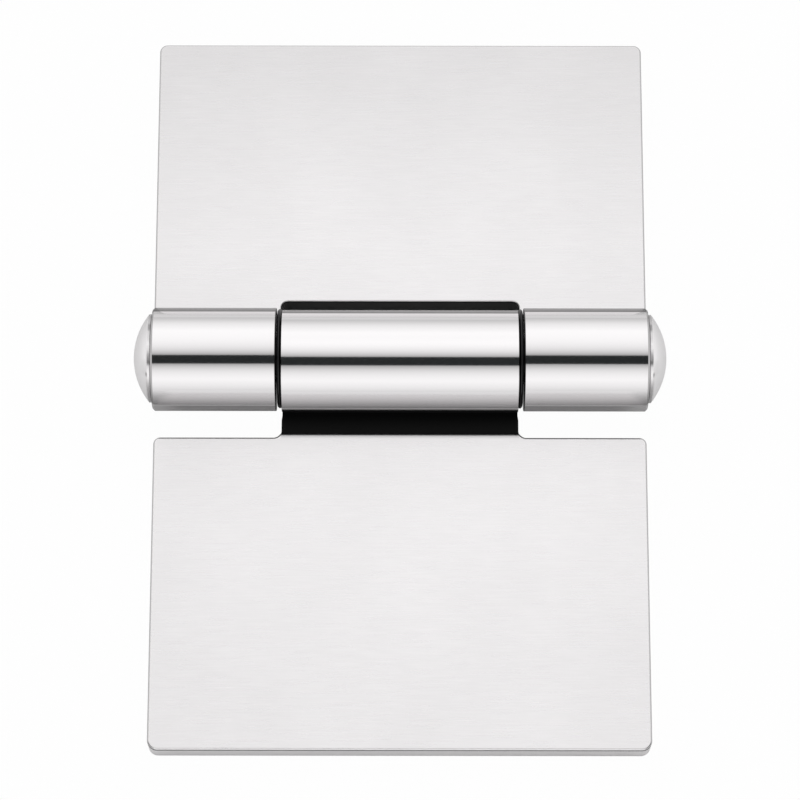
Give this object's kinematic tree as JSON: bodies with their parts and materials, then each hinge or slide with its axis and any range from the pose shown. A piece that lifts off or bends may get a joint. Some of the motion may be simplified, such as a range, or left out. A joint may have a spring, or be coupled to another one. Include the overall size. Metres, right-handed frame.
{
  "type": "lorry hinge",
  "caption": "Flat weld-on hinge of stainless steel with plain brushed leaves, a polished round barrel, black flanged bushes and domed pin heads.",
  "frame": {"origin": "on the hinge's back plane, under the middle of the pin", "axes": "+X along the pin, +Y towards the upper leaf's far edge, +Z out of the front, away from the back plane"},
  "size_m": [0.1072, 0.1491, 0.0207],
  "materials": {
    "leaf_steel": "stainless steel, faces brushed along the pin, knuckles mirror polished",
    "pin_steel": "stainless steel, polished domes",
    "bush_plastic": "black low-friction polymer"
  },
  "bodies": {
    "fixed_side": {"upper_leaf": "leaf_steel", "hinge_pin": "pin_steel", "pin_cap": "pin_steel"},
    "moving_side": {"lower_leaf": "leaf_steel", "bush_left": "bush_plastic", "bush_right": "bush_plastic"}
  },
  "joints": [
    {"name": "leaf_swing", "type": "hinge", "parent": "fixed_side", "child": "moving_side", "pos_m": [0, 0, 0.0103], "axis": [-1, 0, 0], "range_deg": [-100, 180]}
  ]
}
